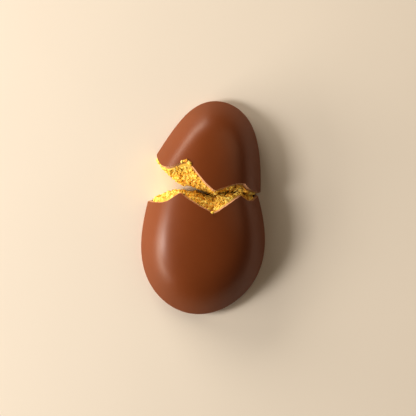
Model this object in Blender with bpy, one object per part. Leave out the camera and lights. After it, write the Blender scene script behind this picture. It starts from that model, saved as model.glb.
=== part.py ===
"""A flat-backed filled chocolate egg, snapped in two across its middle by a zigzag break.

Each half is a thin milk chocolate coating, closed over the flat back, round a crumbly golden filling.
The whole egg is described once, in its own frame: X across, Y towards the pointed end, Z up from the
flat back. Each half is cut from it along the break, then turned and moved to where it lies.
Units are metres. The origin is under the middle of the two halves.
"""

import math

import bmesh
import bpy
import numpy as np
from mathutils import Vector, noise

MM = 0.001

# The whole egg.
HALF_WIDTH = 21.3 * MM
HALF_LENGTH = 33.5 * MM
HEIGHT = 16.0 * MM
TAPER = 0.263  # how much narrower the pointed end is than the blunt one
FULLNESS = 0.084  # swells both ends
TIP_FULLNESS = 0.186  # swells the pointed end and trims the blunt one
BOW = 1.5 * MM  # both ends lie this far to the left of the middle
WIDEST_LEVEL = 3.5 * MM  # height of the widest outline above the flat back
BACK_SCALE = 0.93  # the flat back's size against the widest outline
# The surface tilts a little more with every step out over the crown, and then turns over the shoulder
# into a slanting wall. Distances are shares of the outline, and tilts are from level.
CROWN_TILT = math.radians(26)
WALL_TILT = math.radians(36)
SHOULDER_SHARE = 0.72
SHOULDER_SPREAD = 0.07

# The walls.
COATING = 1.3 * MM
GAP = 0.3 * MM  # between the coating and the filling

# How finely the surfaces are divided.
AROUND = 56
SHOULDER_ROWS = 11
LOWER_ROWS = 3
BREAK_SPACING = 1.2 * MM
FACE_ROWS = 11

# The break, seen from above, as (x, y) points in millimetres across the egg.
# The chocolate breaks along one zigzag on top, whose teeth both halves share.
TOP_ZIGZAG = [(-23, 7.0), (-18.6, 5.6), (-14.6, 5.5), (-8.6, 9.5), (3.6, 2.4),
              (13.2, 8.9), (16.4, 6.8), (19.4, 6.8), (23, 7.0)]
# Lower down the break is smoother, and each half leaves its own line on the flat back.
BLUNT_BACK_LINE = [(-23, 6.4), (-18.6, 6.0), (-8.6, 7.6), (3.6, 6.6), (13.2, 8.2), (17.0, 9.6), (23, 10.6)]
POINTED_BACK_LINE = [(-23, 8.0), (-18.6, 7.2), (-8.6, 4.2), (3.6, 2.8), (13.2, 5.8), (17.0, 6.8), (23, 7.2)]
# The filling breaks less cleanly and reaches out past the chocolate.
BLUNT_FILLING_LINE = [(-23, 7.0), (-17.3, 7.9), (-15.4, 8.7), (-13.0, 10.0), (-9.0, 10.7), (-5.0, 10.2),
                      (-1.5, 9.4), (2.0, 8.3), (3.4, 8.3), (4.6, 9.5), (8.0, 10.0), (11.2, 9.8),
                      (13.4, 9.2), (16.8, 8.0), (23, 7.5)]
POINTED_FILLING_LINE = [(-23, 6.4), (-16.8, 4.9), (-14.0, 3.4), (-12.4, 2.4), (-10.0, 1.5), (-5.0, 1.2),
                        (0.0, 1.5), (3.2, 0.9), (4.4, 1.1), (5.2, 2.5), (8.0, 3.8), (10.0, 4.4),
                        (13.6, 4.7), (16.8, 5.6), (23, 6.6)]
FACE_REACH_LEVEL = 4.5 * MM  # height at which the filling reaches furthest out
FACE_ROUNDNESS = 1.5  # 1 is a straight slope from the top to that height, 2 a round one
UNDERCUT = 0.25  # how far the filling draws back again at the flat back, as a share of its reach
CRUMB_SIZE = 2.2 * MM
CRUMB_DEPTH = 0.5 * MM

# Where each half lies: the centre of its whole egg, and its turn to the right.
BLUNT_PLACE = Vector((0.23, -4.45, 0.0)) * MM
BLUNT_TURN = math.radians(1.1)
POINTED_PLACE = Vector((-0.47, 4.95, 0.0)) * MM
POINTED_TURN = math.radians(17.9)

# Cutters reach well past what they cut.
BEYOND = 6.0 * MM

MILK_CHOCOLATE = (0.20, 0.050, 0.010, 1.0)
GOLDEN_CRUMB = (0.86, 0.60, 0.09, 1.0)


def clear_scene():
    for obj in list(bpy.data.objects):
        bpy.data.objects.remove(obj, do_unlink=True)


def material(name, color, roughness):
    made = bpy.data.materials.new(name)
    made.use_nodes = True
    shader = made.node_tree.nodes["Principled BSDF"]
    shader.inputs["Base Color"].default_value = color
    shader.inputs["Roughness"].default_value = roughness
    shader.inputs["Metallic"].default_value = 0.0
    made.diffuse_color = color
    return made


def add_object(name, bm):
    """Stores the bmesh as a smooth shaded object, its faces pointing out."""
    bmesh.ops.recalc_face_normals(bm, faces=bm.faces)
    mesh = bpy.data.meshes.new(name)
    bm.to_mesh(mesh)
    bm.free()
    mesh.shade_smooth()
    mesh.set_sharp_from_angle(angle=math.radians(35))
    made = bpy.data.objects.new(name, mesh)
    bpy.context.collection.objects.link(made)
    return made


def make_cutter(obj):
    obj.hide_render = True
    obj.display_type = "WIRE"
    return obj


def shoulder_line():
    """(share of the outline, share of the rise) at even steps from the widest outline up to the crown."""
    shares = np.linspace(1, 0, 401)
    tilts = CROWN_TILT * shares + WALL_TILT / (1 + np.exp((SHOULDER_SHARE - shares) / SHOULDER_SPREAD))
    rises = np.append(0, np.cumsum(np.tan((tilts[1:] + tilts[:-1]) / 2)))
    rises /= rises[-1]
    steps = np.hypot(np.diff(shares) * HALF_WIDTH, np.diff(rises) * (HEIGHT - WIDEST_LEVEL))
    along = np.append(0, np.cumsum(steps))
    stops = np.linspace(0, along[-1], SHOULDER_ROWS + 1)
    return zip(np.interp(stops, along, shares).tolist(), np.interp(stops, along, rises).tolist())


def side_profile():
    """(share of the outline, share of the height) from the middle of the back, round the side, to the top."""
    widest = WIDEST_LEVEL / HEIGHT
    points = [(0.0, 0.0)]
    for row in range(LOWER_ROWS):
        drop = 1 - row / LOWER_ROWS
        points.append((1 - (1 - BACK_SCALE) * drop**2, widest * (1 - drop)))
    for share, rise in shoulder_line():
        points.append((share, widest + (1 - widest) * rise))
    return points


def egg_dome(name, inset):
    """The whole egg, or the same shape with every wall moved in by inset: a turned dome pressed to an egg."""
    bm = bmesh.new()
    rim = [bm.verts.new((share, 0.0, level)) for share, level in side_profile()]
    for low, high in zip(rim, rim[1:]):
        bm.edges.new((low, high))
    bmesh.ops.spin(bm, geom=bm.verts[:] + bm.edges[:], axis=(0, 0, 1), angle=2 * math.pi,
                   steps=AROUND, use_merge=True)
    bmesh.ops.remove_doubles(bm, verts=bm.verts, dist=1e-5)
    wide = HALF_WIDTH - inset
    long = HALF_LENGTH - inset
    for vert in bm.verts:
        share = math.hypot(vert.co.x, vert.co.y)
        across, along = (vert.co.xy / share) if share > 1e-6 else (0.0, 0.0)
        swell = 1 - TAPER * along + FULLNESS * along**2 + TIP_FULLNESS * along**3
        vert.co.x = share * (wide * across * swell - BOW * along**2)
        vert.co.y = share * long * along
        vert.co.z = inset + (HEIGHT - 2 * inset) * vert.co.z
    return add_object(name, bm)


def on_line(line, x):
    """The y of a break line at x, in metres."""
    points = np.array(line) * MM
    return float(np.interp(x, points[:, 0], points[:, 1]))


def break_block(name, front, corner_lines, rows, towards):
    """A closed block that starts at the broken face and reaches past the egg's end.

    front(x, z) gives the face's y. Columns stand at an even spacing and at each corner of the lines,
    so that the teeth stay sharp. towards is +1 for the pointed end and -1 for the blunt one.
    """
    width = HALF_WIDTH + 1.5 * MM
    columns = set(np.round(np.arange(-width, width + BREAK_SPACING, BREAK_SPACING), 6))
    for line in corner_lines:
        near = [x for x in columns if any(abs(x - px * MM) < 0.45 * BREAK_SPACING for px, _ in line)]
        columns.difference_update(near)
        columns.update(px * MM for px, _ in line)
    columns = sorted(columns)
    low, high = -1.0 * MM, HEIGHT + 1.0 * MM
    bm = bmesh.new()
    # The operator's grid has its points in rows; each is then put on the broken face.
    bmesh.ops.create_grid(bm, x_segments=len(columns) - 1, y_segments=rows, size=1.0)
    for vert in bm.verts:
        column = round((vert.co.x + 1) / 2 * (len(columns) - 1))
        x = columns[column]
        z = low + (high - low) * (vert.co.y + 1) / 2
        vert.co = (x, front(x, z), z)
    made = bmesh.ops.extrude_face_region(bm, geom=bm.faces[:])
    for vert in made["geom"]:
        if isinstance(vert, bmesh.types.BMVert):
            vert.co.y = towards * (HALF_LENGTH + BEYOND)
    bmesh.ops.triangulate(bm, faces=bm.faces)
    return make_cutter(add_object(name, bm))


def coating_front(back_line):
    """The chocolate's break: the zigzag on top, leaning over to the line on the back."""
    def front(x, z):
        share = min(max(z / HEIGHT, 0.0), 1.0)
        return on_line(back_line, x) * (1 - share) + on_line(TOP_ZIGZAG, x) * share
    return front


def filling_front(filling_line, seed):
    """The filling's break: from under the zigzag, bulging out to its own line, with coarse crumbs."""
    top = HEIGHT - COATING - GAP

    def front(x, z):
        if z > FACE_REACH_LEVEL:
            rise = min((z - FACE_REACH_LEVEL) / (top - FACE_REACH_LEVEL), 1.0)
            reach = (1 - rise**FACE_ROUNDNESS) ** (1 / FACE_ROUNDNESS)
        else:
            reach = 1 - UNDERCUT * (1 - max(z, 0.0) / FACE_REACH_LEVEL) ** 2
        crumb = noise.noise(Vector((x, z, seed * CRUMB_SIZE)) / CRUMB_SIZE) * CRUMB_DEPTH
        return on_line(TOP_ZIGZAG, x) * (1 - reach) + on_line(filling_line, x) * reach + crumb * reach
    return front


def cut(obj, cutter, operation="DIFFERENCE"):
    step = obj.modifiers.new(cutter.name, "BOOLEAN")
    step.operation = operation
    step.solver = "EXACT"
    step.object = cutter


def lay(objects, name, place, turn):
    """Hangs a half's pieces and cutters on one empty, and puts it where that half lies."""
    holder = bpy.data.objects.new(name, None)
    bpy.context.collection.objects.link(holder)
    for obj in objects:
        obj.parent = holder
    holder.location = place
    holder.rotation_euler = (0.0, 0.0, -turn)


def make_half(name, back_line, filling_line, seed, towards, place, turn):
    """One half: its coating and its filling. towards is the end that the break cuts away."""
    hollow = make_cutter(egg_dome(f"{name}_hollow_cutter", COATING))
    coating_cut = break_block(f"{name}_coating_break_cutter", coating_front(back_line),
                              [TOP_ZIGZAG, back_line], 6, towards)
    filling_cut = break_block(f"{name}_filling_break_cutter", filling_front(filling_line, seed),
                              [TOP_ZIGZAG], FACE_ROWS, towards)

    coating = egg_dome(f"{name}_coating", 0.0)
    cut(coating, hollow)
    cut(coating, coating_cut)
    coating.data.materials.append(material(f"{name} milk chocolate", MILK_CHOCOLATE, 0.36))

    filling = egg_dome(f"{name}_filling", COATING + GAP)
    cut(filling, filling_cut)
    filling.data.materials.append(material(f"{name} golden crumb filling", GOLDEN_CRUMB, 0.75))

    lay([hollow, coating_cut, filling_cut, coating, filling], f"{name}_holder", place, turn)


def main():
    clear_scene()
    make_half("blunt_half", BLUNT_BACK_LINE, BLUNT_FILLING_LINE, 1.0, +1, BLUNT_PLACE, BLUNT_TURN)
    make_half("pointed_half", POINTED_BACK_LINE, POINTED_FILLING_LINE, 9.0, -1, POINTED_PLACE,
              POINTED_TURN)


main()
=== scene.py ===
"""Dresses a flat-backed filled chocolate egg that has been snapped in two across its middle.

Each half gets a smooth milk chocolate coating with a granular broken edge, and a crumbly golden
filling with its crumbs standing proud of the break. Everything is in metres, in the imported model's frame.
"""

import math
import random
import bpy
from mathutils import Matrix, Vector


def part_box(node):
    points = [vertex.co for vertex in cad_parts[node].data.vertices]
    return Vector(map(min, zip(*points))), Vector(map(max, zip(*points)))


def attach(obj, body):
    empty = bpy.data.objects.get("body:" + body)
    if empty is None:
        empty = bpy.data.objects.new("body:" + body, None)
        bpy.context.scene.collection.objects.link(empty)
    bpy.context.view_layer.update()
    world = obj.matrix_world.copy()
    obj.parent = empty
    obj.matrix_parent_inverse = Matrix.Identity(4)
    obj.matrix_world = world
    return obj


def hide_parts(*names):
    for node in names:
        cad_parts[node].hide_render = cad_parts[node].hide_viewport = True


bl_info = {
    "name": "Snapped Chocolate Egg",
    "version": (1, 0, 0),
    "blender": (4, 5, 0),
    "location": "View3D > Sidebar > Egg",
    "description": "Makes the coating, filling, crumbs and stage of a filled chocolate egg snapped in two",
    "category": "Object",
}

import bmesh
import bpy
import numpy as np
from bpy.props import FloatProperty, FloatVectorProperty, IntProperty, PointerProperty
from mathutils import Matrix, Vector, noise

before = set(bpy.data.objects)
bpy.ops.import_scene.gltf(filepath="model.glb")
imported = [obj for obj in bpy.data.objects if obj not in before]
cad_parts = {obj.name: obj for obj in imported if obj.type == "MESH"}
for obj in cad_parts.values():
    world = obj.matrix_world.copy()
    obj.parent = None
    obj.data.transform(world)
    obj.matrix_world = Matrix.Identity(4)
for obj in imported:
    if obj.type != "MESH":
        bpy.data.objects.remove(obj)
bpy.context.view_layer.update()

MM = 0.001
EGG_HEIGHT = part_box("blunt_half_coating")[1][2]

# The whole egg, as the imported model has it: its outline is an oval that tapers and bows.
HALF_WIDTH = 21.3 * MM
HALF_LENGTH = 33.5 * MM
TAPER = 0.263  # how much narrower the pointed end is than the blunt one
FULLNESS = 0.084  # swells both ends
TIP_FULLNESS = 0.186  # swells the pointed end and trims the blunt one
BOW = 1.5 * MM  # both ends lie this far to the left of the middle
WIDEST_LEVEL = 3.5 * MM
BACK_SCALE = 0.93
CROWN_TILT = math.radians(26)  # how far the crown tilts by the outline, before the shoulder's turn
WALL_TILT = math.radians(36)  # how much further the wall tilts past the shoulder
SHOULDER_SHARE = 0.72
SHOULDER_SPREAD = 0.07
COATING = 1.3 * MM
BEYOND = 6.0 * MM  # how far a cutter reaches past what it cuts
CUTTER_MARGIN = 0.5 * MM  # how far it reaches past the back and the crown

# The broken edge of the coating.
EDGE_STEP = 0.4 * MM  # the edge is divided twice where its steps are longer than this
EDGE_CUTS = 5  # rows of points between its outer and inner side

# The filling's core, which the crumbs cover.
CORE_INSET = COATING - 0.12 * MM
CORE_ROWS = (96, 30, 5)  # around, up the shoulder, and under the widest level
UNDERCUT = 0.25  # how far the break draws back again at the flat back, as a share of its reach
TONE_SIZE = 1.3 * MM
TONE_SEED = 5.0

# The relief of the broken filling: how wide each kind of feature is, and how far it stands out or in.
LUMP_SIZE, LUMP_HEIGHT = 2.6 * MM, 0.45 * MM
GRAIN_SIZE, GRAIN_HEIGHT, GRAIN_LEVEL = 1.3 * MM, 0.40 * MM, 0.42
FINE_SIZE, FINE_HEIGHT = 0.45 * MM, 0.06 * MM
PIT_SIZE, PIT_DEPTH, PIT_SEED = 1.9 * MM, 0.6 * MM, 31.0
PIT_START, PIT_RAMP = 0.34, 0.22  # the noise where a pit starts, and how much more of it reaches the bottom
COLOR_DEPTH = 0.9 * MM  # the relief over which the painted shade in the pits goes from none on proud grains to full

# The crumbs.
CRUMB_SHAPES = 12
CRUMB_SINK = 0.2  # where the crumbs lie on the painted pit shade's scale, between the proudest grains and the pits; too shallow to get any
CRUMB_WIDTH = 0.88  # they keep to this share of the egg's half width
CRUMB_SHARE = 0.93  # and to this share of its outline

LIGHT_DISTANCE = 0.9
LIGHT_TARGET = (0, 0, 0.006)
FLOOR_HALF_WIDTH = 3.0

# The break's lines, seen from above, as (x, y) in millimetres across the whole egg.
# "top" is the chocolate's edge on the crown, "back" its edge on the flat back, and "filling" is as far
# as the filling reaches.
HALVES = {
    "blunt_half": {
        "towards": 1,
        "place": (0.23, -4.45),
        "turn": 1.1,
        "top": [(-24, 5.2), (-18.4, 5.2), (-15.7, 5.4), (-14.2, 5.8), (-13.0, 6.4), (-9.1, 9.4),
                (-8.3, 9.5), (-5.4, 7.2), (-1.1, 4.6), (1.8, 3.2), (3.4, 2.1), (5.8, 3.6), (8.5, 5.5),
                (13.1, 9.0), (14.2, 7.8), (15.2, 6.5), (16.3, 5.5), (17.5, 4.5), (24, 5.0)],
        "back": [(-24, 6.8), (-18.6, 6.6), (-8.6, 7.6), (3.6, 6.6), (13.2, 8.6), (16.3, 9.3), (18.2, 10.0),
                 (20, 9.6), (24, 9.5)],
        "filling": [(-24, 5.5), (-18.0, 5.6), (-17.3, 7.9), (-16.5, 8.6), (-15.6, 8.4), (-14.7, 9.3),
                    (-13.1, 9.6), (-12.8, 10.4), (-11.9, 10.1), (-10.4, 10.8), (-9.0, 10.8), (-8.3, 10.0),
                    (-7.5, 10.9), (-6.5, 10.2), (-3.0, 10.4), (-1.6, 9.6), (0.6, 9.1), (3.4, 9.0),
                    (4.5, 10.5), (8.0, 10.9), (11.2, 10.8), (13.4, 10.1), (15.2, 9.8), (16.9, 9.2),
                    (17.6, 6.5), (24, 5.5)],
        "rim_crumbs": [(-7.9, 9.9), (3.0, 2.8)],
        "seed": 1.0,
    },
    "pointed_half": {
        "towards": -1,
        "place": (-0.47, 4.95),
        "turn": 17.9,
        "top": [(-24, 6.0), (-19.4, 5.0), (-16.8, 4.1), (-14.5, 4.9), (-13.6, 5.6), (-10.2, 8.8),
                (-8.7, 9.7), (-6.8, 9.0), (-3.6, 6.6), (0.2, 4.1), (3.3, 2.7), (4.3, 2.6), (6.5, 4.3),
                (9.5, 6.7), (12.3, 8.4), (13.5, 8.7), (14.6, 7.8), (15.7, 6.9), (17.2, 6.2), (24, 6.0)],
        "back": [(-24, 12.0), (-19.8, 9.8), (-19.2, 8.6), (-18.4, 7.8), (-16.8, 7.2), (-14.3, 6.3),
                 (-8.6, 4.2), (3.6, 2.8), (13.2, 5.8), (17.0, 6.9), (20.0, 7.2), (24, 7.6)],
        "filling": [(-24, 7.5), (-17.8, 6.0), (-16.8, 4.8), (-15.4, 3.8), (-14.0, 3.2), (-13.4, 2.5),
                    (-11.3, 2.1), (-10.3, 1.6), (-9.9, 1.0), (-8.7, 1.1), (-7.4, 0.7), (-5.1, 1.1),
                    (-1.8, 1.3), (1.2, 1.0), (3.3, 0.6), (4.4, 0.5), (5.1, 1.5), (8.0, 2.8),
                    (11.4, 3.7), (13.6, 3.8), (15.4, 4.0), (16.8, 4.8), (17.6, 6.5), (24, 7.5)],
        "rim_crumbs": [(-10.0, 8.5), (-9.3, 9.0), (-8.6, 9.3), (-7.9, 9.1), (-7.3, 8.8), (-6.8, 8.4)],
        "seed": 9.0,
    },
}


# ---------------------------------------------------------------- settings

class EggShapeSettings(bpy.types.PropertyGroup):
    around: IntProperty(name="Around", description="Steps round the egg", default=224, min=24)
    shoulder_rows: IntProperty(name="Shoulder Rows", description="Rows from the widest level to the crown",
                               default=64, min=6)
    lower_rows: IntProperty(name="Lower Rows", description="Rows under the widest level", default=8, min=2)
    edge_wander: FloatProperty(name="Edge Wander", description="How far the broken edge strays from its line",
                               default=0.10 * MM, unit="LENGTH", precision=5)
    edge_lean: FloatProperty(name="Edge Lean", description="How far its inner side stands proud",
                             default=0.60 * MM, unit="LENGTH", precision=5)
    edge_grain: FloatProperty(name="Edge Grain", description="Depth of the grain on the broken edge",
                              default=0.07 * MM, unit="LENGTH", precision=5)


class FillingSettings(bpy.types.PropertyGroup):
    spacing: FloatProperty(name="Spacing", description="Distance between the points of the broken filling",
                           default=0.17 * MM, unit="LENGTH", precision=5)
    reach_level: FloatProperty(name="Reach Level", description="Height of the filling at its furthest out",
                               default=4.5 * MM, unit="LENGTH", precision=4)
    roundness: FloatProperty(name="Roundness", description="1 is a straight slope, 2 a round one",
                             default=1.35, min=1.0, max=3.0)
    set_back: FloatProperty(name="Set Back", description="Room for crumbs between the face and its line",
                            default=0.40 * MM, unit="LENGTH", precision=5)
    crumb_count: IntProperty(name="Crumb Count", description="Crumbs stuck to each broken face",
                             default=1000, min=0)
    crumb_small: FloatProperty(name="Smallest Crumb", description="Radius of the smallest crumbs",
                               default=0.28 * MM, unit="LENGTH", precision=5)
    crumb_large: FloatProperty(name="Largest Crumb", description="Radius of the largest crumbs",
                               default=0.85 * MM, unit="LENGTH", precision=5)


class FinishSettings(bpy.types.PropertyGroup):
    chocolate: FloatVectorProperty(name="Chocolate", description="Milk chocolate", subtype="COLOR", size=3,
                                   default=(0.200, 0.0500, 0.0095), min=0, max=1)
    # Lighter, matte broken chocolate; its pale colour is partly a painted highlight of the lit broken rim
    snap: FloatVectorProperty(name="Snapped Chocolate", description="Milk chocolate where it has snapped",
                              subtype="COLOR", size=3, default=(0.60, 0.33, 0.18), min=0, max=1)
    pale: FloatVectorProperty(name="Pale Crumb", description="The palest crumbs", subtype="COLOR", size=3,
                              default=(0.88, 0.70, 0.19), min=0, max=1)
    golden: FloatVectorProperty(name="Golden Crumb", description="The usual crumbs", subtype="COLOR", size=3,
                                default=(0.90, 0.56, 0.06), min=0, max=1)
    # Dark crumbs among the others, and also the painted shade in the filling's pits, where shade falls
    toasted_and_pit_shade: FloatVectorProperty(name="Toasted Crumb", description="Crumbs in the pits", subtype="COLOR",
                                 size=3, default=(0.58, 0.22, 0.02), min=0, max=1)
    gloss: FloatProperty(name="Chocolate Roughness", description="Roughness of the smooth chocolate",
                         default=0.37, min=0, max=1, subtype="FACTOR")


class StageSettings(bpy.types.PropertyGroup):
    view_width: FloatProperty(name="View Width", description="Width of the view at the egg's widest level",
                              default=148.1 * MM, unit="LENGTH")
    view_distance: FloatProperty(name="View Distance", description="Height of the camera", default=1.0,
                                 unit="LENGTH")
    view_centre: FloatVectorProperty(name="View Centre", description="Point under the camera", size=2,
                                     default=(1.75 * MM, -0.12 * MM), subtype="XYZ", unit="LENGTH")
    key_power: FloatProperty(name="Key Light", description="Power of the soft light on the left",
                             default=5.6, unit="POWER")
    left_power: FloatProperty(name="Left Strip", description="Power of the low strip on the left",
                              default=6.4, unit="POWER")
    upper_power: FloatProperty(name="Upper Strip", description="Power of the low strip at the upper left",
                               default=7.4, unit="POWER")
    fill_power: FloatProperty(name="Fill Light", description="Power of the weak light on the right",
                              default=1.3, unit="POWER")
    room: FloatProperty(name="Room Light", description="Light from all round", default=0.10, min=0)
    view_gamma: FloatProperty(name="View Gamma", description="Below 1 deepens the shades", default=0.87,
                              min=0.5, max=1.5)
    floor: FloatVectorProperty(name="Floor", description="Colour of the floor", subtype="COLOR", size=3,
                               default=(0.86, 0.79, 0.70), min=0, max=1)


# ---------------------------------------------------------------- the egg's form

def shoulder_curve():
    """Many shares of the outline from 1 down to 0, and the share of the rise to the crown at each."""
    shares = np.linspace(1, 0, 401)
    tilts = CROWN_TILT * shares + WALL_TILT / (1 + np.exp((SHOULDER_SHARE - shares) / SHOULDER_SPREAD))
    rises = np.append(0, np.cumsum(np.tan((tilts[1:] + tilts[:-1]) / 2)))
    return shares, rises / rises[-1]


def shoulder_line(rows):
    """(share of the outline, share of the rise) at even steps from the widest outline up to the crown."""
    shares, rises = shoulder_curve()
    steps = np.hypot(np.diff(shares) * HALF_WIDTH, np.diff(rises) * (EGG_HEIGHT - WIDEST_LEVEL))
    along = np.append(0, np.cumsum(steps))
    stops = np.linspace(0, along[-1], rows + 1)
    return zip(np.interp(stops, along, shares).tolist(), np.interp(stops, along, rises).tolist())


def side_profile(shoulder_rows, lower_rows):
    """(share of the outline, share of the height) from the middle of the back, round the side, to the top."""
    widest = WIDEST_LEVEL / EGG_HEIGHT
    points = [(BACK_SCALE * row / lower_rows, 0.0) for row in range(lower_rows)]
    for row in range(lower_rows):
        drop = 1 - row / lower_rows
        points.append((1 - (1 - BACK_SCALE) * drop**2, widest * (1 - drop)))
    for share, rise in shoulder_line(shoulder_rows):
        points.append((share, widest + (1 - widest) * rise))
    return points


def outline(across, along, inset=0.0):
    """The egg's outline in the direction whose cosine and sine are across and along."""
    swell = 1 - TAPER * along + FULLNESS * along**2 + TIP_FULLNESS * along**3
    return ((HALF_WIDTH - inset) * across * swell - BOW * along**2, (HALF_LENGTH - inset) * along)


def egg_dome(bm, inset, around, shoulder_rows, lower_rows):
    """Adds the whole egg to bm: a turned profile, pressed to the egg's outline and drawn in by inset."""
    profile = side_profile(shoulder_rows, lower_rows)
    line = [bm.verts.new((share, 0.0, level)) for share, level in profile]
    for low, high in zip(line, line[1:]):
        bm.edges.new((low, high))
    bmesh.ops.spin(bm, geom=bm.verts[:] + bm.edges[:], axis=(0, 0, 1), angle=2 * math.pi,
                   steps=around, use_merge=True)
    bmesh.ops.remove_doubles(bm, verts=bm.verts, dist=1e-5)
    for vert in bm.verts:
        share = math.hypot(vert.co.x, vert.co.y)
        across, along = (vert.co.xy / share) if share > 1e-6 else (0.0, 0.0)
        x, y = outline(across, along, inset)
        vert.co = (share * x, share * y, inset + (EGG_HEIGHT - 2 * inset) * vert.co.z)
    bmesh.ops.recalc_face_normals(bm, faces=bm.faces)


def outline_reach():
    """A function that gives how far out of the egg's middle a point lies, as a share of the outline."""
    turns = np.linspace(-math.pi, math.pi, 1441)
    edge = np.array([outline(math.cos(turn), math.sin(turn)) for turn in turns])
    angles = np.arctan2(edge[:, 1], edge[:, 0])
    order = np.argsort(angles)
    angles, lengths = angles[order], np.hypot(edge[:, 0], edge[:, 1])[order]
    return lambda x, y: math.hypot(x, y) / float(np.interp(math.atan2(y, x), angles, lengths))


SHARES, RISES = shoulder_curve()


def crown_level(share):
    """Height of the outer surface above a point at that share of the outline."""
    return WIDEST_LEVEL + (EGG_HEIGHT - WIDEST_LEVEL) * float(np.interp(-share, -SHARES, RISES))


def line_reader(points):
    """A function that gives the y of a break line at x, in metres."""
    table = np.array(points) * MM
    return lambda x: float(np.interp(x, table[:, 0], table[:, 1]))


def placing(half):
    """The move from the whole egg's frame to where that half lies."""
    x, y = half["place"]
    return Matrix.Translation((x * MM, y * MM, 0)) @ Matrix.Rotation(-math.radians(half["turn"]), 4, "Z")


def grain(point, size, seed=0.0):
    return noise.noise(Vector(point) / size + Vector((seed, 2 * seed, -seed)))


# ---------------------------------------------------------------- finished pieces

def mesh_of(name, bm):
    """Stores bm as a mesh, and frees it."""
    mesh = bpy.data.meshes.new(name)
    bm.to_mesh(mesh)
    bm.free()
    return mesh


def finished(mesh, half, materials, sharp):
    """Makes a piece of a half that rides on the root, with its place in its mesh."""
    mesh.transform(placing(half))
    for made in materials:
        mesh.materials.append(made)
    mesh.shade_smooth()
    mesh.set_sharp_from_angle(angle=math.radians(sharp))
    piece = bpy.data.objects.new(mesh.name, mesh)
    bpy.context.scene.collection.objects.link(piece)
    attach(piece, "root")
    return piece


# ---------------------------------------------------------------- coating

def upright_shift(half):
    """How far the leaning break stands from the crown's line, at (x, z)."""
    top, back = line_reader(half["top"]), line_reader(half["back"])
    return lambda x, z: (back(x) - top(x)) * (1 - min(max(z / EGG_HEIGHT, 0), 1))


def bisect(bm, faces, point, normal):
    """Divides those faces along a plane."""
    edges = {edge for face in faces for edge in face.edges}
    verts = {vert for face in faces for vert in face.verts}
    bmesh.ops.bisect_plane(bm, geom=faces + list(edges) + list(verts), dist=1e-7, plane_co=point,
                           plane_no=normal)


def cut_coating(bm, half):
    """Cuts the dome along the break, one straight run after another, with the leaning break made upright.

    Faces are first divided at each bend of the lines, so that straightening the break bends no face.
    """
    shift = upright_shift(half)
    line = [(x * MM, y * MM) for x, y in half["top"]]
    for x in sorted({x * MM for x, _ in half["top"] + half["back"]}):
        near = [f for f in bm.faces if min(v.co.x for v in f.verts) < x < max(v.co.x for v in f.verts)]
        bisect(bm, near, (x, 0, 0), (1, 0, 0))
    for vert in bm.verts:
        vert.co.y -= shift(vert.co.x, vert.co.z)
    for (x0, y0), (x1, y1) in zip(line, line[1:]):
        near = [f for f in bm.faces if x0 <= f.calc_center_median().x <= x1]
        bisect(bm, near, (x0, y0, 0), (y0 - y1, x1 - x0, 0))
    top = line_reader(half["top"])
    gone = []
    for face in bm.faces:
        centre = face.calc_center_median()
        if (centre.y - top(centre.x)) * half["towards"] > 0:
            gone.append(face)
    bmesh.ops.delete(bm, geom=gone, context="FACES")
    for vert in bm.verts:
        vert.co.y += shift(vert.co.x, vert.co.z)


def rough_edge(bm, half, wander):
    """Divides the broken edge finely and lets it stray a little from its straight runs."""
    for _ in range(2):
        long_edges = [e for e in bm.edges if e.is_boundary and e.calc_length() > EDGE_STEP]
        bmesh.ops.subdivide_edges(bm, edges=long_edges, cuts=1)
    for vert in bm.verts:
        if vert.is_boundary:
            stray = grain(vert.co, 2.2 * MM, half["seed"]) + 0.55 * grain(vert.co, 0.6 * MM, half["seed"])
            vert.co.y += stray * wander


def thicken(bm, half, lean, depth):
    """Gives the skin its wall, and the broken edge between outside and inside its lean and grain."""
    home = bm.verts.layers.float_vector.new("home")
    edge = bm.verts.layers.int.new("broken_edge")
    for vert in bm.verts:
        vert[home] = vert.co
        vert[edge] = vert.is_boundary
    bmesh.ops.solidify(bm, geom=bm.faces[:], thickness=COATING)
    inner = {v for v in bm.verts if (v.co - v[home]).length > COATING / 2}
    for vert in inner:
        if vert[edge]:
            vert.co.y += half["towards"] * lean
    on_edge = [f for f in bm.faces if all(v[edge] for v in f.verts)]
    broken = [f for f in on_edge if len({v in inner for v in f.verts}) == 2]
    # The broken faces get the snapped chocolate, whose pale colour is partly painted highlight
    for face in broken:
        face.material_index = 1
    across = [e for e in {e for f in broken for e in f.edges} if sum(v in inner for v in e.verts) == 1]
    made = bmesh.ops.subdivide_edges(bm, edges=across, cuts=EDGE_CUTS, use_grid_fill=True)
    for item in made["geom_inner"]:
        if isinstance(item, bmesh.types.BMVert):
            coarse, fine = noise.noise_vector(item.co / (0.45 * MM)), noise.noise_vector(item.co / (0.2 * MM))
            item.co += (coarse + 0.6 * fine) * depth
    bm.verts.layers.float_vector.remove(home)
    bm.verts.layers.int.remove(edge)


class EGG_OT_coatings(bpy.types.Operator):
    """Makes the milk chocolate coating of each half"""
    bl_idname = "egg.coatings"
    bl_label = "Coatings"

    def execute(self, context):
        shape = context.scene.egg_shape
        skin, snap = chocolate_material(), snap_and_highlight_material()
        for name, half in HALVES.items():
            bm = bmesh.new()
            egg_dome(bm, 0.0, shape.around, shape.shoulder_rows, shape.lower_rows)
            cut_coating(bm, half)
            rough_edge(bm, half, shape.edge_wander)
            thicken(bm, half, shape.edge_lean, shape.edge_grain)
            bmesh.ops.recalc_face_normals(bm, faces=bm.faces)
            piece = finished(mesh_of(f"{name}_chocolate", bm), half, [skin, snap], 40)
            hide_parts(f"{name}_coating")
        return {"FINISHED"}


# ---------------------------------------------------------------- filling

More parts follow.
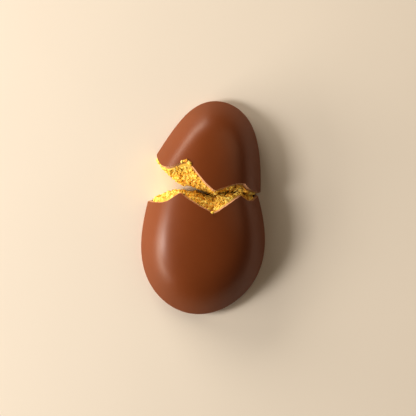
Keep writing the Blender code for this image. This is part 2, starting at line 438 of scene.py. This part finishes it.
def filling_front(half):
    """A function that gives the broken filling's y at (x, z), with its grains and pits."""
    made = bpy.context.scene.egg_filling
    top, reach_line = line_reader(half["top"]), line_reader(half["filling"])
    crown = EGG_HEIGHT - COATING

    def front(x, z):
        if z > made.reach_level:
            rise = min((z - made.reach_level) / (crown - made.reach_level), 1.0)
            reach = (1 - rise**made.roundness) ** (1 / made.roundness)
        else:
            reach = 1 - UNDERCUT * (1 - max(z, 0.0) / made.reach_level) ** 2
        middle = top(x) * (1 - reach) + (reach_line(x) - half["towards"] * made.set_back) * reach
        return middle + half["towards"] * relief(half, x, z)
    return front


def relief(half, x, z):
    """How far the broken filling stands out at (x, z): coarse lumps, round grains and sunken pits."""
    seed = half["seed"]
    lumps = LUMP_HEIGHT * grain((x, z, 0), LUMP_SIZE, seed)
    near = noise.voronoi(Vector((x, z, seed * MM)) / GRAIN_SIZE)[0][0]
    grains = GRAIN_HEIGHT * (GRAIN_LEVEL - near)
    fine = FINE_HEIGHT * grain((x, z, 0), FINE_SIZE, seed)
    return lumps + grains + fine - PIT_DEPTH * pit(half, x, z)


def pit(half, x, z):
    """1 in the middle of a sunken pit, 0 outside it."""
    deep = grain((x, z, 0), PIT_SIZE, half["seed"] + PIT_SEED)
    return min(max((deep - PIT_START) / PIT_RAMP, 0.0), 1.0)


def break_block(half, front, spacing):
    """A closed block from the broken filling to past the end that the break takes away."""
    bm = bmesh.new()
    width, low, high = HALF_WIDTH, -CUTTER_MARGIN, EGG_HEIGHT + CUTTER_MARGIN
    columns, rows = round(2 * width / spacing), round((high - low) / spacing)
    bmesh.ops.create_grid(bm, x_segments=columns, y_segments=rows, size=1.0)
    for vert in bm.verts:
        x, z = width * vert.co.x, low + (high - low) * (vert.co.y + 1) / 2
        vert.co = (x, front(x, z), z)
    made = bmesh.ops.extrude_face_region(bm, geom=bm.faces[:])
    for item in made["geom"]:
        if isinstance(item, bmesh.types.BMVert):
            item.co.y = half["towards"] * (HALF_LENGTH + BEYOND)
    bmesh.ops.recalc_face_normals(bm, faces=bm.faces)
    return bm


def stored(name, bm):
    """Stores bm as a plain object."""
    made = bpy.data.objects.new(name, mesh_of(name, bm))
    bpy.context.scene.collection.objects.link(made)
    return made


def difference(body, block):
    """The body with the block cut away, as a bmesh. Both are used up."""
    step = body.modifiers.new("break", "BOOLEAN")
    step.operation, step.solver, step.object = "DIFFERENCE", "EXACT", block
    graph = bpy.context.evaluated_depsgraph_get()
    bm = bmesh.new()
    bm.from_mesh(body.evaluated_get(graph).to_mesh())
    for obj in (body, block):
        mesh = obj.data
        bpy.data.objects.remove(obj)
        bpy.data.meshes.remove(mesh)
    return bm


class EGG_OT_fillings(bpy.types.Operator):
    """Makes the crumbly filling of each half, up to the coating and out to its broken face"""
    bl_idname = "egg.fillings"
    bl_label = "Fillings"

    def execute(self, context):
        settings = context.scene.egg_filling
        crumb = filling_material()
        for name, half in HALVES.items():
            bm = bmesh.new()
            egg_dome(bm, CORE_INSET, *CORE_ROWS)
            body = stored(f"{name}_body", bm)
            block = stored(f"{name}_block", break_block(half, filling_front(half), settings.spacing))
            bm = difference(body, block)
            # tone is the crumbs' own varied colour; depth sets how much painted shade the pits get
            tone, depth = bm.verts.layers.float.new("tone"), bm.verts.layers.float.new("depth")
            for vert in bm.verts:
                vert[tone] = 0.5 + 0.5 * grain(vert.co, TONE_SIZE, TONE_SEED)
                vert[depth] = core_depth(half, vert.co)
            piece = finished(mesh_of(f"{name}_filling_core", bm), half, [crumb], 70)
            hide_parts(f"{name}_filling")
        return {"FINISHED"}


def core_depth(half, point):
    """0 on the proudest grains and 1 in the deepest pits: how much painted shade the colour gets there."""
    return min(max(0.5 - relief(half, point.x, point.z) / COLOR_DEPTH, 0.0), 1.0)


# ---------------------------------------------------------------- crumbs

def crumb_shapes(count, rng):
    """The points of a few irregular crumbs, each a dented and squashed ball, and the faces they all share."""
    shapes = []
    for _ in range(count):
        bm = bmesh.new()
        bmesh.ops.create_icosphere(bm, subdivisions=2, radius=1.0)
        own = Vector((rng.uniform(0, 100), 0, 0))
        squash = Vector((rng.uniform(0.75, 1.35), rng.uniform(0.75, 1.2), rng.uniform(0.65, 1.0)))
        for vert in bm.verts:
            dent = 1 + 0.45 * noise.noise(vert.co * 1.2 + own) + 0.25 * noise.noise(vert.co * 2.9 - own)
            vert.co = vert.co * dent * squash
        shapes.append(np.array([vert.co for vert in bm.verts]))
        faces = np.array([[vert.index for vert in face.verts] for face in bm.faces])
        bm.free()
    return shapes, faces


def crumb_places(half, rng):
    """(centre, radius) of each crumb: all over the broken face, and the few that lie on the rim."""
    settings = bpy.context.scene.egg_filling
    share_of, front = outline_reach(), filling_front(half)
    places = []
    while len(places) < settings.crumb_count:
        x = rng.uniform(-CRUMB_WIDTH, CRUMB_WIDTH) * HALF_WIDTH
        z = rng.uniform(COATING, EGG_HEIGHT - COATING)
        if rng.random() < pit(half, x, z):
            continue
        y = front(x, z)
        radius = settings.crumb_small + (settings.crumb_large - settings.crumb_small) * rng.random() ** 1.5
        share = share_of(x, y)
        if z + 0.5 * radius > crown_level(share) - COATING or share > CRUMB_SHARE:
            continue
        sink = half["towards"] * radius * rng.uniform(0.05, 0.65)
        places.append((Vector((x, y - sink, z)), radius))
    for x, y in half["rim_crumbs"]:
        radius = settings.crumb_large * rng.uniform(0.65, 0.85)
        level = crown_level(share_of(x * MM, y * MM)) - 0.1 * radius
        places.append((Vector((x * MM, y * MM, level)), radius))
    return places


def crumb_mesh(name, half, rng):
    """All the crumbs of a half joined in one mesh."""
    shapes, faces = crumb_shapes(CRUMB_SHAPES, rng)
    places = crumb_places(half, rng)
    per_crumb = len(shapes[0])
    points = []
    for centre, radius in places:
        axis = Vector((rng.gauss(0, 1), rng.gauss(0, 1), rng.gauss(0, 1))).normalized()
        turn = np.array(Matrix.Rotation(rng.uniform(0, math.tau), 3, axis))
        points.append(rng.choice(shapes) @ turn.T * radius + np.array(centre))
    starts = per_crumb * np.arange(len(places))[:, None, None]
    mesh = bpy.data.meshes.new(name)
    mesh.from_pydata(np.concatenate(points).tolist(), [], (faces[None] + starts).reshape(-1, 3).tolist())
    tones = np.repeat([rng.random() for _ in places], per_crumb)
    mesh.attributes.new("tone", "FLOAT", "POINT").data.foreach_set("value", tones)
    # The crumbs sit at CRUMB_SINK, too shallow for the painted pit shade
    mesh.attributes.new("depth", "FLOAT", "POINT").data.foreach_set("value", np.full(len(tones), CRUMB_SINK))
    return mesh


class EGG_OT_crumbs(bpy.types.Operator):
    """Sticks crumbs to the broken filling and its rim"""
    bl_idname = "egg.crumbs"
    bl_label = "Crumbs"

    def execute(self, context):
        crumb = filling_material()
        for name, half in HALVES.items():
            rng = random.Random(int(half["seed"] * 100))
            finished(crumb_mesh(f"{name}_crumbs", half, rng), half, [crumb], 35)
        return {"FINISHED"}


# ---------------------------------------------------------------- materials

class Value:
    """A shader socket that joins in Python sums. Each sum adds its Math node."""

    def __init__(self, graph, socket):
        self.graph = graph
        self.socket = socket

    def math(self, operation, *values):
        return self.graph.node("ShaderNodeMath", {"operation": operation}, dict(enumerate(values)))

    def __add__(self, other):
        return self.math("ADD", self, other)

    def __sub__(self, other):
        return self.math("SUBTRACT", self, other)

    def __mul__(self, other):
        return self.math("MULTIPLY", self, other)

    __radd__ = __add__
    __rmul__ = __mul__


class Graph:
    """A new material's node tree."""

    def __init__(self, name):
        self.material = bpy.data.materials.new(name)
        self.material.use_nodes = True
        self.tree = self.material.node_tree
        self.shader = self.tree.nodes["Principled BSDF"]

    def node(self, kind, settings=None, inputs=None, output=0):
        """Adds a node, with its settings and then its sockets, and gives one of its outputs."""
        made = self.tree.nodes.new(kind)
        for key, value in (settings or {}).items():
            if key == "stops":
                self.set_stops(made.color_ramp, value)
            else:
                setattr(made, key, value)
        for key, value in (inputs or {}).items():
            self.feed(made.inputs[key], value)
        return Value(self, made.outputs[output])

    def set_stops(self, ramp, stops):
        while len(ramp.elements) < len(stops):
            ramp.elements.new(1.0)
        for element, (position, color) in zip(ramp.elements, stops):
            element.position = position
            element.color = (*color, 1.0)

    def feed(self, socket, value):
        if isinstance(value, Value):
            self.tree.links.new(value.socket, socket)
        else:
            socket.default_value = value

    def noise(self, size, detail=2.0, roughness=0.5, offset=(0, 0, 0)):
        """Noise on the piece's own place, from 0 to 1, with features of that size in metres."""
        place = self.node("ShaderNodeTexCoord", output="Object")
        moved = self.node("ShaderNodeVectorMath", {"operation": "ADD"}, {0: place, 1: offset})
        return self.node("ShaderNodeTexNoise", {"normalize": True},
                         {"Vector": moved, "Scale": 1 / size, "Detail": detail, "Roughness": roughness},
                         "Fac")

    def ramp(self, factor, stops):
        return self.node("ShaderNodeValToRGB", {"stops": stops}, {"Fac": factor})

    def mix(self, factor, first, second):
        return self.node("ShaderNodeMix", {"data_type": "RGBA"}, {0: factor, 6: first, 7: second}, 2)

    def bump(self, height, distance, normal=None):
        inputs = {"Height": height, "Distance": distance, "Strength": 1.0}
        if normal:
            inputs["Normal"] = normal
        return self.node("ShaderNodeBump", None, inputs)

    def finish(self, **sockets):
        for key, value in sockets.items():
            self.feed(self.shader.inputs[key.replace("_", " ")], value)
        return self.material


def rgba(color, scale=1.0):
    return (*(channel * scale for channel in color), 1.0)


def once(make):
    """Makes a material the first time it is asked for, and hands the same one out after that."""
    def given():
        if make.__name__ not in bpy.data.materials:
            make().name = make.__name__
        return bpy.data.materials[make.__name__]
    return given


@once
def chocolate_material():
    colors = bpy.context.scene.egg_finish
    graph = Graph("milk chocolate")
    clouds = graph.noise(9 * MM, 3.0)
    specks = graph.noise(0.5 * MM, 2.0)
    color = graph.mix(clouds, rgba(colors.chocolate, 0.93), rgba(colors.chocolate, 1.07))
    color = graph.mix(specks * 0.12, color, rgba(colors.chocolate, 1.35))
    roughness = colors.gloss - 0.05 + 0.06 * graph.noise(3 * MM, 3.0, offset=(1, 0, 0)) + 0.05 * specks
    waves = graph.bump(graph.noise(11 * MM, 1.0, offset=(0, 1, 0)), 0.10 * MM)
    skin = graph.bump(graph.noise(0.35 * MM, 2.0), 0.006 * MM, normal=waves)
    return graph.finish(Base_Color=color, Roughness=roughness, Normal=skin, IOR=1.46)


@once
def snap_and_highlight_material():
    colors = bpy.context.scene.egg_finish
    graph = Graph("snapped chocolate")
    specks = graph.noise(0.3 * MM, 3.0, 0.6)
    # Painted highlight: the pale colour partly stands for light on the broken rim; the specks are random
    color = graph.mix(specks, rgba(colors.snap, 0.75), rgba(colors.snap, 1.2))
    grainy = graph.bump(graph.noise(0.18 * MM, 3.0), 0.05 * MM)
    return graph.finish(Base_Color=color, Roughness=0.62, Normal=grainy, IOR=1.46)


@once
def filling_material():
    colors = bpy.context.scene.egg_finish
    graph = Graph("crumbly filling")
    tone = graph.node("ShaderNodeAttribute", {"attribute_name": "tone"}, output="Fac")
    depth = graph.node("ShaderNodeAttribute", {"attribute_name": "depth"}, output="Fac")
    blotch = graph.noise(0.8 * MM, 3.0, 0.6)
    shade = 0.45 * tone + 0.75 * blotch - 0.1
    body = graph.ramp(shade, [(0.20, colors.toasted_and_pit_shade), (0.38, colors.golden), (0.66, colors.pale)])
    # Painted shade: the colour darkens to the dark crumb colour in the pits, where shade falls
    pit_shade = graph.ramp(depth, [(0.35, (0, 0, 0)), (0.95, (1, 1, 1))])
    color = graph.mix(pit_shade, body, rgba(colors.toasted_and_pit_shade))
    grainy = graph.bump(graph.noise(0.30 * MM, 3.0, 0.6), 0.05 * MM)
    return graph.finish(Base_Color=color, Roughness=0.62, Normal=grainy, IOR=1.45)


@once
def floor_material():
    colors = bpy.context.scene.egg_stage
    graph = Graph("floor")
    tint = graph.noise(60 * MM, 2.0)
    color = graph.mix(tint, rgba(colors.floor, 0.98), rgba(colors.floor, 1.02))
    return graph.finish(Base_Color=color, Roughness=0.9, IOR=1.3)


# ---------------------------------------------------------------- stage

def aimed(location):
    """A matrix that puts a light there, facing the egg."""
    direction = Vector(LIGHT_TARGET) - location
    return Matrix.Translation(location) @ direction.to_track_quat("-Z", "Y").to_matrix().to_4x4()


def add_light(name, azimuth, elevation, size, power, color):
    """A soft rectangular light. Azimuth 0 is to the left, and 90 is towards the pointed end."""
    light = bpy.data.lights.new(name, "AREA")
    light.shape = "RECTANGLE"
    light.size, light.size_y = size
    light.energy = power
    light.color = color
    turn, rise = math.radians(azimuth), math.radians(elevation)
    place = Vector((-math.cos(turn) * math.cos(rise), math.sin(turn) * math.cos(rise), math.sin(rise)))
    made = bpy.data.objects.new(name, light)
    made.matrix_world = aimed(place * LIGHT_DISTANCE)
    bpy.context.scene.collection.objects.link(made)


class EGG_OT_stage(bpy.types.Operator):
    """Makes the floor, the soft lights and the camera that looks straight down"""
    bl_idname = "egg.stage"
    bl_label = "Stage"

    def execute(self, context):
        scene, stage = context.scene, context.scene.egg_stage
        bm = bmesh.new()
        bmesh.ops.create_grid(bm, x_segments=4, y_segments=4, size=FLOOR_HALF_WIDTH)
        floor = stored("floor", bm)
        floor.data.materials.append(floor_material())

        add_light("key", -5, 34, (0.26, 0.22), stage.key_power, (1.0, 0.96, 0.91))
        add_light("left strip", -16, 15, (0.80, 0.24), stage.left_power, (1.0, 0.92, 0.80))
        add_light("upper strip", 52, 18, (0.80, 0.26), stage.upper_power, (1.0, 0.92, 0.80))
        add_light("fill", 140, 45, (0.70, 0.60), stage.fill_power, (1.0, 0.80, 0.55))
        world = bpy.data.worlds.new("room")
        world.use_nodes = True
        world.node_tree.nodes["Background"].inputs["Color"].default_value = (1.0, 0.84, 0.66, 1.0)
        world.node_tree.nodes["Background"].inputs["Strength"].default_value = stage.room
        scene.world = world
        scene.view_settings.view_transform = "Standard"
        scene.view_settings.gamma = stage.view_gamma

        camera = bpy.data.cameras.new("camera")
        camera.sensor_width = 36.0
        camera.lens = camera.sensor_width * (stage.view_distance - WIDEST_LEVEL) / stage.view_width
        camera.clip_start, camera.clip_end = 0.01, 10.0
        made = bpy.data.objects.new("camera", camera)
        made.location = (*stage.view_centre, stage.view_distance)
        scene.collection.objects.link(made)
        scene.camera = made
        return {"FINISHED"}


# ---------------------------------------------------------------- add-on

class EGG_PT_panel(bpy.types.Panel):
    """Lists the steps and their settings"""
    bl_idname = "EGG_PT_panel"
    bl_label = "Snapped Chocolate Egg"
    bl_space_type = "VIEW_3D"
    bl_region_type = "UI"
    bl_category = "Egg"

    def draw(self, context):
        layout = self.layout
        for operator in OPERATORS:
            layout.operator(operator.bl_idname)
        for pointer, settings in SETTINGS.items():
            box = layout.box()
            for name in settings.__annotations__:
                box.prop(getattr(context.scene, pointer), name)


SETTINGS = {
    "egg_shape": EggShapeSettings,
    "egg_filling": FillingSettings,
    "egg_finish": FinishSettings,
    "egg_stage": StageSettings,
}
OPERATORS = (EGG_OT_coatings, EGG_OT_fillings, EGG_OT_crumbs, EGG_OT_stage)


def register():
    for cls in (*SETTINGS.values(), *OPERATORS, EGG_PT_panel):
        bpy.utils.register_class(cls)
    for pointer, settings in SETTINGS.items():
        setattr(bpy.types.Scene, pointer, PointerProperty(type=settings))


def unregister():
    for pointer in SETTINGS:
        delattr(bpy.types.Scene, pointer)
    for cls in (EGG_PT_panel, *reversed(OPERATORS), *reversed(SETTINGS.values())):
        bpy.utils.unregister_class(cls)


def main():
    register()
    bpy.ops.egg.coatings()
    bpy.ops.egg.fillings()
    bpy.ops.egg.crumbs()
    bpy.ops.egg.stage()


if __name__ == "__main__":
    main()
